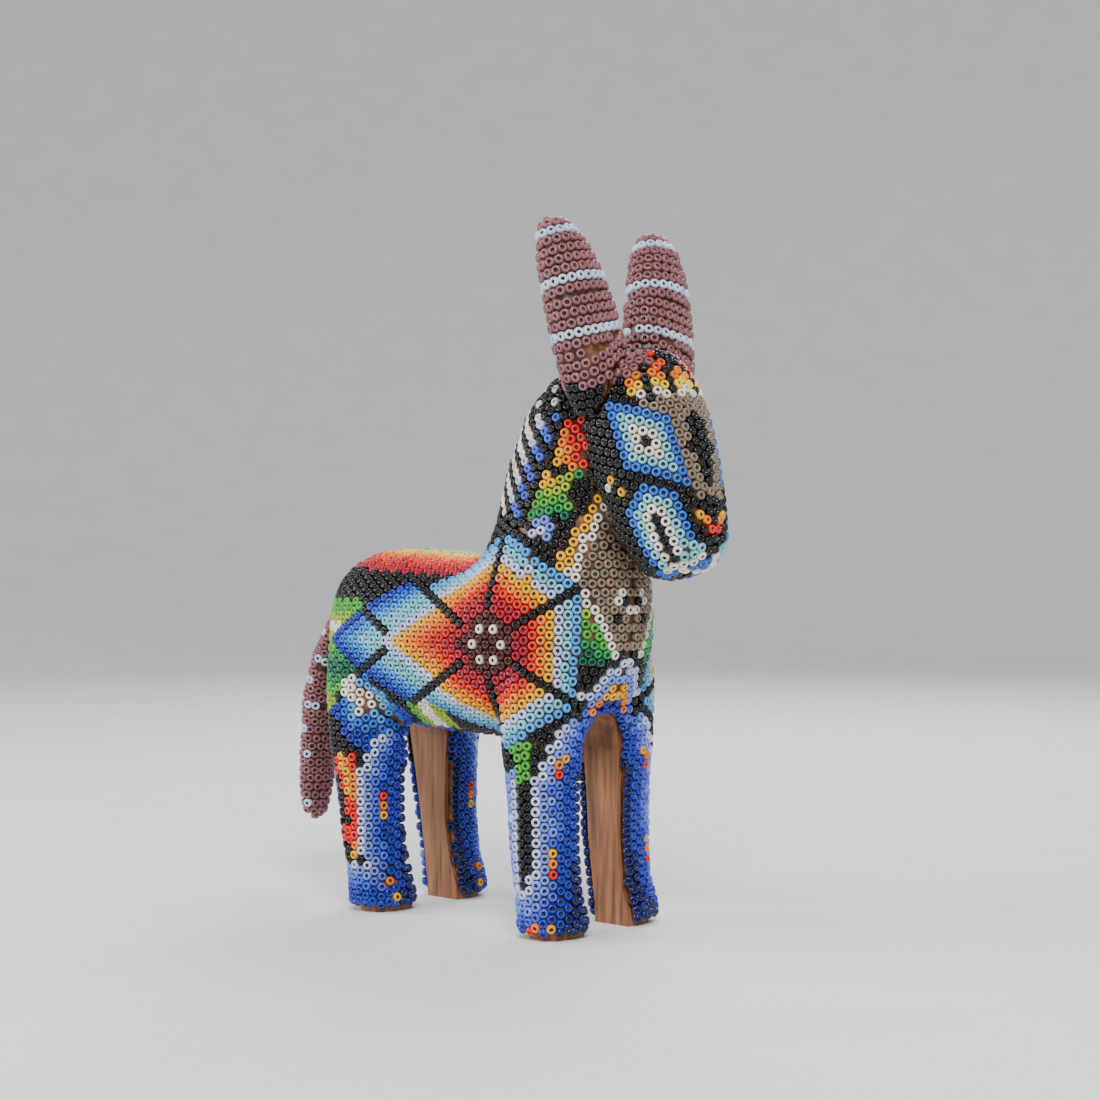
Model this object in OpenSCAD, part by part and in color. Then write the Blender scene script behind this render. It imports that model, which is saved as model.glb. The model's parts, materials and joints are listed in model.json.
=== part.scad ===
// Beaded donkey figure: a carved wooden block with pegged ears and tail, a thin coat of wax,
// and one layer of glass seed beads pressed into the wax. The head points along +X, the
// donkey's left is +Y, and the four soles stand on the plane z = 0.

/* [Barrel] */
// Length of the barrel, from the rump to the shoulder
barrel_l = 62; // [50:1:76]
// Depth of the barrel, from the back to the belly
barrel_h = 40; // [33:1:48]
// Width of the barrel across the flanks
barrel_w = 41; // [34:1:50]
// Height of the belly above the ground
belly_h = 38.5; // [32:0.5:47]

/* [Neck] */
// Height of the neck, from the shoulder to the poll
neck_l = 40; // [33:1:48]
// Depth of the neck at its middle, from the throat to the mane
neck_d = 31; // [26:1:37]
// Width of the neck at its middle
neck_w = 26; // [22:1:32]

/* [Head] */
// Length of the head, from the poll to the muzzle
head_l = 47; // [39:0.5:56.5]
// Depth of the head at the cheeks
head_d = 25.6; // [21:0.2:31]
// Width of the head at the cheeks
head_w = 25.6; // [21:0.2:31]
// Slope of the head below the level, in degrees
head_slope = 70; // [58:1:80]

/* [Legs] */
// Gap between the flat inner faces of the left and right legs
leg_gap = 14.2; // [11.5:0.1:17.2]
// Width of a leg, from its flat inner face to its outer side
leg_w = 11.8; // [9.8:0.1:14.2]
// Thickness of the shank from front to back
shank_d = 12.8; // [10.6:0.2:15.4]
// Length of a foot from front to back
foot_l = 14.6; // [12.2:0.2:17.6]
// Distance between the front and the rear feet, centre to centre
foot_spacing = 50; // [41:1:60]
// Height of the bare rim of wood under the beads at each sole
sole_rim = 1.5; // [1.2:0.1:2]

/* [Chest] */
// Width of the field of beads on the chest
chest_w = 20; // [16.5:0.5:24]

/* [Ears] */
// Length of an ear, from inside the head to its tip
ear_l = 41.4; // [35:0.2:50]
// Width of an ear from side to side
ear_w = 17.4; // [14.6:0.2:20.8]
// Thickness of an ear from front to back
ear_d = 13.2; // [11:0.2:16]
// How far the tip of an ear leans out to the side
ear_splay = 9.2; // [7.6:0.2:11]
// How far the tip of an ear leans back
ear_lean = 6.6; // [5.4:0.2:8]
// Depth of the hollow in the front of an ear
ear_hollow = 2; // [1.6:0.1:2.4]

/* [Tail] */
// How far the tail stands out behind the rump
tail_reach = 18; // [15:0.5:22]
// How far the tail hangs down from its root
tail_drop = 50.5; // [42:0.5:56]
// Width of the tail from side to side
tail_w = 10.4; // [8.6:0.2:12.6]
// Thickness of the tail from front to back
tail_d = 7.2; // [6:0.2:8.6]

/* [Layers] */
// Thickness of the layer of beads
bead_t = 1.3; // [1.1:0.1:1.6]
// Thickness of the wax under the beads
wax_t = 0.9; // [0.7:0.1:1.1]
// Clearance between one layer and the next
layer_gap = 0.05; // [0.03:0.01:0.08]
// Clearance between neighbouring fields of beads
field_gap = 0.2; // [0.1:0.1:0.4]

/* [Pegs] */
// Diameter of the peg that holds an ear
ear_peg_d = 3; // [2.4:0.1:3.6]
// Length of the peg that holds an ear
ear_peg_l = 13; // [10.8:0.1:15.6]
// Diameter of the peg that holds the tail
tail_peg_d = 1.8; // [1.5:0.1:2.2]
// Length of the peg that holds the tail
tail_peg_l = 10; // [8.2:0.1:12]
// Clearance between a peg and its hole, on the radius
peg_gap = 0.1; // [0.05:0.05:0.15]
// Space left at each end of a peg in its hole
peg_end = 0.5; // [0.3:0.1:0.8]

/* [Hidden] */

wood_color = "#9a5a2e";
wax_color = "#c07a3c";
navy = "#1d2450";
blue = "#4f7fd0";
crimson = "#a3202c";
green = "#3f8a4a";
taupe = "#8a7468";
plum = "#6a4150";
orange = "#e0702a";

overcut = 1;
far = 200;
// Number of sides of the lofts, the slot's rounded top and the pegs
barrel_sides = 24;
head_sides = 20;
limb_sides = 16;
slot_sides = 48;
peg_sides = 32;
// Squareness of the sections: 2 is an ellipse, more is nearer to a rectangle
neck_square = 2.05;
head_square = 2.1;
leg_square = 2.4;
bridge_square = 4;
ellipse = 2;
// Smallest half size of a section that is moved in
least_half = 0.2;
wax_outer = bead_t + layer_gap;
wax_inner = wax_outer + wax_t;
wood_inset = wax_inner + layer_gap;
half_gap = leg_gap / 2;
rump_x = -43.5;
// Height of the shoulder as a share of the barrel's depth, and its place past the barrel's end
shoulder_share = 0.96;
shoulder_past = 1;
shoulder = [rump_x + barrel_l + shoulder_past, belly_h + shoulder_share * barrel_h];
// How far forward of the shoulder the poll is, as a share of the neck's height
poll_share = 0.357;
poll = [shoulder[0] + poll_share * neck_l, shoulder[1] + neck_l];
// Height of the head's first section above the poll
head_rise = 1.6;
// Gap between the slot and the inner faces of the legs
arch_gap = 0.3;
arch_r = half_gap - arch_gap;
// How far a bridge reaches into the legs, and its lowest section as a share of the belly's height
bridge_lap = 4;
bridge_w = half_gap + bridge_lap;
bridge_start = 0.9;
// How far the feet are moved forward of even spacing about the barrel
feet_shift = -1;
// How far the slots run behind the front feet and ahead of the rear ones
front_slot = 14;
rear_slot = 9;
// Middle of a leg's sections outward of its inner face, as a share of its width
leg_middle = 0.2;
// Foot of the line under the neck's beads from the shoulder, and its slope in degrees
neck_foot = [-6.6, 7.6];
neck_slope = -20;
neck_line = [shoulder[0] + neck_foot[0], shoulder[1] + neck_foot[1], neck_slope];
// Lower edge of the back's beads as a share of the barrel's depth, and how far it stops
// short of the shoulder
back_share = 0.88;
back_line = belly_h + back_share * barrel_h;
back_short = 17;
// Rear edge of the chest's beads, and their top as a share of the neck's height
chest_x = 25;
chest_share = 0.4;
chest_top = shoulder[1] + chest_share * neck_l;
// Root of an ear: forward of and below the poll, and out as a share of the head's width
ear_forward = 0.7;
ear_below = 12;
ear_out = 0.26;
// How fast an ear leans back and splays along its length
lean_power = 2;
splay_power = 0.75;
// Where the hollow of an ear starts and how long it is, as shares of its length
hollow_start = 0.25;
hollow_share = 0.55;
hollow_power = 3;
// Root of the tail: ahead of the rump's end, and its height as a share of the barrel's depth
tail_ahead = 0.5;
tail_share = 0.69;
// Steps between one section and the next
loft_steps = 2;

// Sections of the barrel: share of its length, share of its depth above the belly, tilt,
// half depth and half width as shares of the barrel's, squareness
BARREL = [
    [0, 0.56, 0, 0.30, 0.29, 2.2],
    [0.016, 0.56, 0, 0.57, 0.54, 2.3],
    [0.073, 0.55, 0, 0.80, 0.76, 2.4],
    [0.185, 0.54, 0, 0.95, 0.93, 2.4],
    [0.38, 0.525, 0, 0.99, 1, 2.3],
    [0.637, 0.50, 2, 0.975, 1, 2.3],
    [0.83, 0.525, 16, 1.05, 1, 2.3],
    [0.976, 0.6625, 38, 1.125, 0.95, 2.2]
];
// Sections of the neck: forward and upward from the shoulder as shares of its height, tilt,
// half depth and half width as shares of the neck's
NECK = [
    [0, 0, 62, 1.22, 1.23],
    [0, 0.35, 76, 1, 1],
    [0.11, 0.675, 66, 0.9, 0.92],
    [0.26, 0.875, 55, 0.645, 0.69],
    [0.335, 0.94, 55, 0.26, 0.31]
];
// Sections of the head: share of its length, half depth and half width as shares of the head's
HEAD = [[0, 0.38, 0.39], [0.06, 0.78, 0.76], [0.22, 0.98, 0.98], [0.455, 1, 1],
    [0.69, 0.905, 0.89], [0.875, 0.765, 0.765], [0.96, 0.595, 0.61], [1, 0.31, 0.33]];
// Sections of a front leg: height as a share of the belly's, forward of the foot,
// thickness as a share of the shank's and of the foot's, width as a share of the leg's
FRONT_LEG = [[-0.05, 0, 0, 1, 1], [0.1, -0.2, 0, 0.97, 1], [0.25, -1.6, 1, 0, 0.97],
    [0.47, -2.5, 1.03, 0, 1], [0.75, -2.8, 1.08, 0, 1.03], [0.97, -3, 1.22, 0, 1.09],
    [1.3, -3.4, 1.42, 0, 1.1], [1.5, -3.7, 1.45, 0, 0.97]];
REAR_LEG = [[-0.05, 0, 0, 1, 1], [0.1, -0.5, 0, 0.98, 1], [0.26, -2, 1, 0, 0.97],
    [0.47, -3.3, 1, 0, 1], [0.75, -4.2, 1.16, 0, 1.04], [0.97, -4.8, 1.34, 0, 1.09],
    [1.3, -5.2, 1.46, 0, 1.1], [1.56, -5.4, 1.45, 0, 0.97]];
// Sections of an ear: share of its length, half thickness and half width as shares of the ear's
EAR = [[0, 0.8, 0.7], [0.14, 1, 0.92], [0.31, 1.06, 1.04], [0.53, 1, 1.02], [0.74, 0.88, 0.9],
    [0.9, 0.66, 0.68], [0.985, 0.38, 0.42], [1, 0.12, 0.12]];
// Sections of the tail: shares of its reach and of its drop, tilt, half thickness, half width
TAIL = [[-0.2, -0.02, 180, 1.12, 0.85], [0.15, 0.01, 192, 1.12, 0.85], [0.44, 0.09, 220, 1.05, 0.92],
    [0.72, 0.25, 242, 1, 1], [0.89, 0.44, 256, 1, 1], [0.95, 0.64, 265, 0.94, 0.96],
    [0.99, 0.83, 268, 0.86, 0.92], [1.01, 0.96, 270, 0.6, 0.66], [1.01, 1, 270, 0.2, 0.22]];

function signed_pow(v, p) = sign(v) * pow(abs(v), p);

// A smooth curve through rows of numbers, with a number of steps between one row and the next
function between(a, b, c, d, t) =
    0.5 * (2 * b + (c - a) * t + (2 * a - 5 * b + 4 * c - d) * t * t
        + (3 * b - a - 3 * c + d) * t * t * t);
function smooth_rows(rows, steps) =
    let (last = len(rows) - 1)
    [for (i = [0 : last - 1], j = [0 : steps - 1])
            between(rows[max(i - 1, 0)], rows[i], rows[i + 1], rows[min(i + 2, last)], j / steps),
        rows[last]];

// Each row below is [x, y, z, tilt, half depth, half width, squareness]. The layers under the
// beads are the same rows moved in by the depth of the layer, square to the sloping surface.
function inset_row(rows, i, t) =
    let (a = rows[max(i - 1, 0)], b = rows[min(i + 1, len(rows) - 1)],
        run = norm([b[0] - a[0], b[1] - a[1], b[2] - a[2]]),
        swell = (b[4] + b[5] - a[4] - a[5]) / 2,
        slope = norm([run, swell]),
        side = t * run / slope,
        along = t * swell / slope,
        r = rows[i])
    [r[0] + along * (b[0] - a[0]) / run, r[1] + along * (b[1] - a[1]) / run,
        r[2] + along * (b[2] - a[2]) / run, r[3], max(r[4] - side, least_half),
        max(r[5] - side, least_half), r[6]];
function inset_rows(rows, t) = [for (i = [0 : len(rows) - 1]) inset_row(rows, i, t)];
function ring(row, sides) =
    [for (i = [0 : sides - 1])
        let (a = 360 * i / sides,
            depth = row[4] * signed_pow(sin(a), 2 / row[6]),
            width = row[5] * signed_pow(cos(a), 2 / row[6]))
        [row[0] - depth * sin(row[3]), row[1] + width, row[2] + depth * cos(row[3])]];
function rings(rows, sides) = [for (row = rows) ring(row, sides)];

barrel_rows = [for (k = BARREL)
    [rump_x + k[0] * barrel_l, 0, belly_h + k[1] * barrel_h, k[2],
        k[3] * barrel_h / 2, k[4] * barrel_w / 2, k[5]]];
neck_rows = [for (k = NECK)
    [shoulder[0] + k[0] * neck_l, 0, shoulder[1] + k[1] * neck_l, k[2],
        k[3] * neck_d / 2, k[4] * neck_w / 2, neck_square]];
torso_rows = smooth_rows(concat(barrel_rows, neck_rows), loft_steps);
head_rows = smooth_rows([for (k = HEAD)
    [poll[0] + k[0] * head_l * cos(head_slope), 0,
        poll[1] + head_rise - k[0] * head_l * sin(head_slope),
        -head_slope, k[1] * head_d / 2, k[2] * head_w / 2, head_square]], loft_steps);
front_foot_x = foot_spacing / 2 + feet_shift;
rear_foot_x = front_foot_x - foot_spacing;
front_slot_x = front_foot_x - front_slot;
rear_slot_x = rear_foot_x + rear_slot;
function leg_rows(sections, foot_x) = [for (k = sections)
    let (width = k[4] * leg_w)
    [foot_x + k[1], half_gap + leg_middle * leg_w, k[0] * belly_h, 90,
        (k[2] * shank_d + k[3] * foot_l) / 2, width - leg_middle * leg_w, leg_square]];
front_leg_rows = leg_rows(FRONT_LEG, front_foot_x);
rear_leg_rows = leg_rows(REAR_LEG, rear_foot_x);
// The bridges join each pair of legs above the slot between them
function bridge_rows(sections, foot_x) = [for (k = sections)
    if (k[0] > bridge_start)
        [foot_x + k[1], 0, k[0] * belly_h, 90, k[2] * shank_d / 2, bridge_w, bridge_square]];
ear_root = [poll[0] + ear_forward, ear_out * head_w, poll[1] - ear_below];
ear_rows = [for (k = EAR)
    [ear_root[0] - ear_lean * pow(k[0], lean_power),
        ear_root[1] + ear_splay * pow(k[0], splay_power),
        ear_root[2] + ear_l * k[0], 90, k[1] * ear_d / 2, k[2] * ear_w / 2, ellipse]];
tail_root = [rump_x + tail_ahead, belly_h + tail_share * barrel_h];
tail_rows = [for (k = TAIL)
    [tail_root[0] - k[0] * tail_reach, 0, tail_root[1] - k[1] * tail_drop, k[2],
        k[3] * tail_d / 2, k[4] * tail_w / 2, ellipse]];

// The origin is under the middle of the figure's length
front_x = max([for (r = rings(head_rows, head_sides), p = r) p[0]]);
back_x = min([for (r = rings(tail_rows, limb_sides), p = r) p[0]]);
mid_x = (front_x + back_x) / 2;

// A closed solid through rings of points
module loft(rings) {
    sides = len(rings[0]);
    last = len(rings) - 1;
    polyhedron(
        points = [for (r = rings) each r],
        faces = [
            [for (i = [0 : sides - 1]) i],
            [for (i = [sides - 1 : -1 : 0]) last * sides + i],
            for (j = [0 : last - 1], i = [0 : sides - 1])
                each let (a = j * sides, n = (i + 1) % sides)
                    [[a + i, a + sides + n, a + n], [a + i, a + sides + i, a + sides + n]]
        ]);
}

module torso(t) { loft(rings(inset_rows(torso_rows, t), barrel_sides)); }

module bridge(sections, foot_x, t) {
    loft(rings(inset_rows(bridge_rows(sections, foot_x), t), limb_sides));
}

// The barrel and neck with the bridges over the slots between the legs
module trunk(t) {
    torso(t);
    bridge(FRONT_LEG, front_foot_x, t);
    bridge(REAR_LEG, rear_foot_x, t);
}

module head(t) { loft(rings(inset_rows(head_rows, t), head_sides)); }

// A left leg, with its inner face cut flat at the given distance from the middle
module leg(rows, t, wall = half_gap) {
    loft([for (r = rings(inset_rows(rows, t), limb_sides))
        [for (p = r) [p[0], max(p[1], wall), p[2]]]]);
}

module front_leg(t, wall = half_gap) { leg(front_leg_rows, t, wall); }

module rear_leg(t, wall = half_gap) { leg(rear_leg_rows, t, wall); }

module both_sides() {
    children();
    mirror([0, 1, 0]) children();
}

module legs(t, wall = half_gap) {
    both_sides() {
        front_leg(t, wall);
        rear_leg(t, wall);
    }
}

// A left ear. Its front is hollowed, most at the middle of its length.
module ear(t) {
    rows = inset_rows(ear_rows, t);
    loft([for (r = rows)
        let (share = (r[2] - ear_root[2]) / ear_l,
            hollow = ear_hollow
                * sin(180 * min(max((share - hollow_start) / hollow_share, 0), 1)))
        [for (p = ring(r, limb_sides))
            let (front = max(0, (p[0] - r[0]) / r[4]))
            [p[0] - hollow * pow(front, hollow_power), p[1], p[2]]]]);
}

module tail(t) { loft(rings(inset_rows(tail_rows, t), limb_sides)); }

// Everything below the given height
module below(z) {
    translate([-far, -far, z - far]) cube([2 * far, 2 * far, far]);
}

// A round-topped slot between the left and right legs, over a stretch of the figure's length
module slot(from_x, to_x) {
    translate([from_x, 0, belly_h])
        rotate([0, 90, 0])
            cylinder(r = arch_r, h = to_x - from_x, $fn = slot_sides);
    translate([from_x, -arch_r, -overcut])
        cube([to_x - from_x, 2 * arch_r, belly_h + overcut]);
}

// The fields of beads on the barrel and neck: the neck lies above a sloping line, the chest
// between two upright lines, and the back above a level one. Each can be grown by a gap.
module neck_field(gap = 0) {
    translate([neck_line[0], 0, neck_line[1] - gap])
        rotate([0, -neck_line[2], 0])
            translate([-far, -far, 0]) cube([2 * far, 2 * far, far]);
}

module chest_field(gap = 0) {
    translate([chest_x - gap, -chest_w / 2 - gap, 0])
        cube([far, chest_w + 2 * gap, chest_top + gap]);
}

module back_field(gap = 0) {
    translate([-far, -far, back_line - gap])
        cube([far + shoulder[0] - back_short + gap, 2 * far, far]);
}

// The left half of space with side 1, the right half with side -1
module half(side, gap = 0) {
    translate([-far, (side - 1) * far / 2 + side * gap / 2, 0]) cube([2 * far, far, far]);
}

// Lays a peg's axis along the direction from one point to another, starting at the middle
module along(from, to) {
    d = to - from;
    translate((from + to) / 2)
        rotate([0, acos(d[2] / norm(d)), atan2(d[1], d[0])])
            children();
}
function place(row) = [row[0], row[1], row[2]];

module peg(d, l) { cylinder(d = d, h = l, center = true, $fn = peg_sides); }

module peg_hole(d, l) {
    cylinder(d = d + 2 * peg_gap, h = l + 2 * peg_end, center = true, $fn = peg_sides);
}

module on_ear_axis() { along(place(ear_rows[0]), place(ear_rows[2])) children(); }

module on_tail_axis() { along(place(tail_rows[0]), place(tail_rows[1])) children(); }

module ear_peg_hole() { on_ear_axis() peg_hole(ear_peg_d, ear_peg_l); }

module tail_peg_hole() { on_tail_axis() peg_hole(tail_peg_d, tail_peg_l); }

module centred() { translate([-mid_x, 0, 0]) children(); }

module right_side() { mirror([0, 1, 0]) children(); }

// Wood
module body_block() color(wood_color) centred() difference() {
    union() {
        trunk(wood_inset);
        head(wood_inset);
        legs(wood_inset);
    }
    below(0);
    slot(front_slot_x, far);
    slot(-far, rear_slot_x);
    both_sides() ear_peg_hole();
    tail_peg_hole();
}

module ear_blank() color(wood_color) centred() difference() {
    ear(wood_inset);
    head(wax_inner);
    trunk(wax_inner);
    ear_peg_hole();
}

module tail_blank() color(wood_color) centred() difference() {
    tail(wood_inset);
    trunk(wax_inner);
    tail_peg_hole();
}

module ear_peg() color(wood_color) centred() on_ear_axis() peg(ear_peg_d, ear_peg_l);

module tail_peg() color(wood_color) centred() on_tail_axis() peg(tail_peg_d, tail_peg_l);

// Wax
module body_wax() color(wax_color) centred() difference() {
    union() {
        trunk(wax_outer);
        head(wax_outer);
        legs(wax_outer);
    }
    trunk(wax_inner);
    head(wax_inner);
    legs(wax_inner, half_gap - overcut);
    both_sides() ear(wax_inner);
    tail(wax_inner);
    slot(-far, far);
    below(sole_rim);
}

module ear_wax() color(wax_color) centred() difference() {
    ear(wax_outer);
    ear(wax_inner);
    head(bead_t);
    trunk(bead_t);
}

module tail_wax() color(wax_color) centred() difference() {
    tail(wax_outer);
    tail(wax_inner);
    trunk(bead_t);
}

// Beads. Each node is the layer that its beads fill.
module torso_beads() difference() {
    trunk(0);
    trunk(bead_t);
    head(bead_t);
    legs(bead_t, half_gap - overcut);
    both_sides() ear(bead_t);
    tail(bead_t);
    slot(-far, far);
}

module head_beads() color(blue) centred() difference() {
    head(0);
    head(bead_t);
    trunk(-field_gap);
    both_sides() ear(bead_t);
}

module neck_beads() color(navy) centred() difference() {
    intersection() {
        torso_beads();
        neck_field();
    }
    chest_field(field_gap);
}

module chest_beads() color(taupe) centred() intersection() {
    torso_beads();
    chest_field();
}

module back_beads() color(orange) centred() difference() {
    intersection() {
        torso_beads();
        back_field();
    }
    neck_field(field_gap);
}

module flank_beads(side) color(crimson) centred() difference() {
    intersection() {
        torso_beads();
        half(side, field_gap);
    }
    neck_field(field_gap);
    chest_field(field_gap);
    back_field(field_gap);
}

module leg_beads(rows) centred() difference() {
    leg(rows, 0);
    leg(rows, bead_t, half_gap - overcut);
    trunk(-field_gap);
    below(sole_rim);
}

module ear_beads() color(plum) centred() difference() {
    ear(0);
    ear(bead_t);
    head(-field_gap);
    trunk(-field_gap);
}

module tail_beads() color(plum) centred() difference() {
    tail(0);
    tail(bead_t);
    trunk(-field_gap);
}

body_block();
right_side() ear_blank();  // right_ear_blank
ear_blank();  // left_ear_blank
tail_blank();
right_side() ear_peg();  // right_ear_peg
ear_peg();  // left_ear_peg
tail_peg();
body_wax();
right_side() ear_wax();  // right_ear_wax
ear_wax();  // left_ear_wax
tail_wax();
head_beads();
neck_beads();
back_beads();
chest_beads();
flank_beads(-1);  // right_flank_beads
flank_beads(1);  // left_flank_beads
color(navy) right_side() leg_beads(front_leg_rows);  // right_front_leg_beads
color(navy) leg_beads(front_leg_rows);  // left_front_leg_beads
color(green) right_side() leg_beads(rear_leg_rows);  // right_rear_leg_beads
color(green) leg_beads(rear_leg_rows);  // left_rear_leg_beads
right_side() ear_beads();  // right_ear_beads
ear_beads();  // left_ear_beads
tail_beads();
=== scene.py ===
import json
import math
import random

import bpy
import numpy as np
from mathutils import Matrix, Vector
from mathutils.bvhtree import BVHTree
from mathutils.kdtree import KDTree

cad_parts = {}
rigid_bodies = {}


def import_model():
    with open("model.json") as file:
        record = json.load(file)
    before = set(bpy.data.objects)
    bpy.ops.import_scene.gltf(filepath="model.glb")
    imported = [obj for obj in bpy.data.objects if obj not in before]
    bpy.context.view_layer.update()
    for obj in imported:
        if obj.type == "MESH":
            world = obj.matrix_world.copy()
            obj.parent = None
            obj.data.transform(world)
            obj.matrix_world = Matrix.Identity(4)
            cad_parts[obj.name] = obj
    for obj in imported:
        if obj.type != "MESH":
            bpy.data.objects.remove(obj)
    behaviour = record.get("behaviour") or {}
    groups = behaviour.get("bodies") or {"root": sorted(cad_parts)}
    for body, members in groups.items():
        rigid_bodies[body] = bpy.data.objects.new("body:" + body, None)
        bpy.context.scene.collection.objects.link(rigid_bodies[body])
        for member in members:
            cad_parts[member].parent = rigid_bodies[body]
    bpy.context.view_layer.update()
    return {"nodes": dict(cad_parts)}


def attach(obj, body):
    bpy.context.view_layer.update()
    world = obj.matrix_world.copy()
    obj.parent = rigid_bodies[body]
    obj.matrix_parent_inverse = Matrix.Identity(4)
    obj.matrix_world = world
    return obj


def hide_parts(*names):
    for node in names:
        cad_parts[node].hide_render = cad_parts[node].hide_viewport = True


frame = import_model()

mm = 0.001
print("frame loaded:", len(frame["nodes"]), "nodes")

# Camera, lamps and floor
camera = {"place": (304.1, -324.2, 79.1), "looking": (-0.664, 0.748, 0.0), "lens": 66.8}
lamps = {
    "keyLamp": {"place": (460, -420, 620), "size": 300, "power": 6.5},
    "fillLamp": {"place": (-460, -420, 260), "size": 300, "power": 3.0},
    "rimLamp": {"place": (-200, 480, 520), "size": 400, "power": 3.5},
}
studio = {"radius": 3000, "flat": 900, "curve": 0.0007, "sky": (0.92, 0.94, 1.0, 1), "strength": 0.68}


def deselectAll():
    if bpy.context.object and bpy.context.object.mode != "OBJECT":
        bpy.ops.object.mode_set(mode="OBJECT")
    bpy.ops.object.select_all(action="DESELECT")


def selectOnly(thing):
    deselectAll()
    thing.select_set(True)
    bpy.context.view_layer.objects.active = thing


def addCamera():
    deselectAll()
    bpy.ops.object.camera_add(location=[v * mm for v in camera["place"]])
    viewer = bpy.context.object
    viewer.name = "camera"
    viewer.rotation_euler = Vector(camera["looking"]).to_track_quat("-Z", "Y").to_euler()
    viewer.data.lens = camera["lens"]
    viewer.data.sensor_width = 36.0
    viewer.data.clip_start = 0.01
    bpy.context.scene.camera = viewer


def addLamps():
    for name, lamp in lamps.items():
        place = Vector(lamp["place"]) * mm
        deselectAll()
        bpy.ops.object.light_add(type="AREA", location=place)
        light = bpy.context.object
        light.name = name
        light.data.size = lamp["size"] * mm
        light.data.energy = lamp["power"]
        aim = Vector((0, 0, 70 * mm)) - place
        light.rotation_euler = aim.to_track_quat("-Z", "Y").to_euler()
    world = bpy.data.worlds.new("studioWorld")
    world.use_nodes = True
    sky = world.node_tree.nodes["Background"]
    sky.inputs["Color"].default_value = studio["sky"]
    sky.inputs["Strength"].default_value = studio["strength"]
    bpy.context.scene.world = world


# A wide pale floor that curves up far away, so that no horizon shows
def addFloor():
    deselectAll()
    bpy.ops.mesh.primitive_circle_add(vertices=96, radius=studio["flat"] * mm, fill_type="NGON")
    floor = bpy.context.object
    floor.name = "studioFloor"
    bpy.ops.object.mode_set(mode="EDIT")
    bpy.ops.mesh.select_mode(type="EDGE")
    bpy.ops.mesh.select_all(action="SELECT")
    bpy.ops.mesh.region_to_loop()
    rings = 24
    grow = (studio["radius"] / studio["flat"]) ** (1 / rings)
    radius = studio["flat"]
    for _ in range(rings):
        past = radius * grow - studio["flat"]
        before = radius - studio["flat"]
        lift = studio["curve"] * (past * past - before * before) * mm
        bpy.ops.mesh.extrude_edges_move(TRANSFORM_OT_translate={"value": (0, 0, lift)})
        bpy.ops.transform.resize(value=(grow, grow, 1), center_override=(0, 0, 0))
        radius *= grow
    bpy.ops.object.mode_set(mode="OBJECT")
    bpy.ops.object.shade_smooth()
    made, nodes, links = newMaterial("paleFloor")
    shader = nodes["Principled BSDF"]
    shader.inputs["Roughness"].default_value = 0.75
    colorFromNoise(nodes, links, shader, 30, [(0.3, (0.80, 0.80, 0.79, 1)), (0.7, (0.84, 0.84, 0.83, 1))])
    floor.data.materials.append(made)


# Materials
def newMaterial(name):
    made = bpy.data.materials.new(name)
    made.use_nodes = True
    return made, made.node_tree.nodes, made.node_tree.links


# A noise pattern in metres, stretched as wanted, on the piece's own coordinates
def noisePattern(nodes, links, scale, stretch=(1, 1, 1), detail=4.0):
    place = nodes.new("ShaderNodeTexCoord")
    mapping = nodes.new("ShaderNodeMapping")
    noise = nodes.new("ShaderNodeTexNoise")
    mapping.inputs["Scale"].default_value = stretch
    noise.inputs["Scale"].default_value = scale
    noise.inputs["Detail"].default_value = detail
    links.new(place.outputs["Object"], mapping.inputs["Vector"])
    links.new(mapping.outputs["Vector"], noise.inputs["Vector"])
    return noise


def rampFrom(nodes, links, source, stops):
    ramp = nodes.new("ShaderNodeValToRGB")
    while len(ramp.color_ramp.elements) < len(stops):
        ramp.color_ramp.elements.new(0.5)
    for element, (at, color) in zip(ramp.color_ramp.elements, stops):
        element.position = at
        element.color = color
    links.new(source, ramp.inputs["Fac"])
    return ramp


def colorFromNoise(nodes, links, shader, scale, stops, stretch=(1, 1, 1)):
    noise = noisePattern(nodes, links, scale, stretch)
    ramp = rampFrom(nodes, links, noise.outputs["Fac"], stops)
    links.new(ramp.outputs["Color"], shader.inputs["Base Color"])


def bumpFrom(nodes, links, shader, source, depth):
    bump = nodes.new("ShaderNodeBump")
    bump.inputs["Strength"].default_value = 1.0
    bump.inputs["Distance"].default_value = depth * mm
    links.new(source, bump.inputs["Height"])
    links.new(bump.outputs["Normal"], shader.inputs["Normal"])


wood = {"grain": 900, "stretch": (1, 1, 0.07), "pegStretch": (1, 1, 0.05), "depth": 0.05,
        "dark": (0.10, 0.038, 0.014, 1), "mid": (0.24, 0.095, 0.034, 1), "light": (0.36, 0.16, 0.065, 1)}


def woodMaterial(name, stretch):
    made, nodes, links = newMaterial(name)
    shader = nodes["Principled BSDF"]
    shader.inputs["Roughness"].default_value = 0.62
    stops = [(0.3, wood["dark"]), (0.5, wood["mid"]), (0.72, wood["light"])]
    colorFromNoise(nodes, links, shader, wood["grain"], stops, stretch)
    fibre = noisePattern(nodes, links, wood["grain"] * 2.2, stretch)
    bumpFrom(nodes, links, shader, fibre.outputs["Fac"], wood["depth"])
    return made


# The beeswax's own brown-orange, made darker overall as painted shade for the gaps between the beads, where
# shadow falls
wax = {"scale": 260, "depth": 0.12,
       "dark": (0.02, 0.007, 0.003, 1), "mid": (0.09, 0.03, 0.008, 1), "light": (0.28, 0.11, 0.03, 1)}


def waxMaterial():
    made, nodes, links = newMaterial("beeswax")
    shader = nodes["Principled BSDF"]
    shader.inputs["Roughness"].default_value = 0.42
    stops = [(0.34, wax["dark"]), (0.52, wax["mid"]), (0.7, wax["light"])]
    colorFromNoise(nodes, links, shader, wax["scale"], stops)
    dents = noisePattern(nodes, links, wax["scale"] * 3)
    bumpFrom(nodes, links, shader, dents.outputs["Fac"], wax["depth"])
    return made
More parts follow.
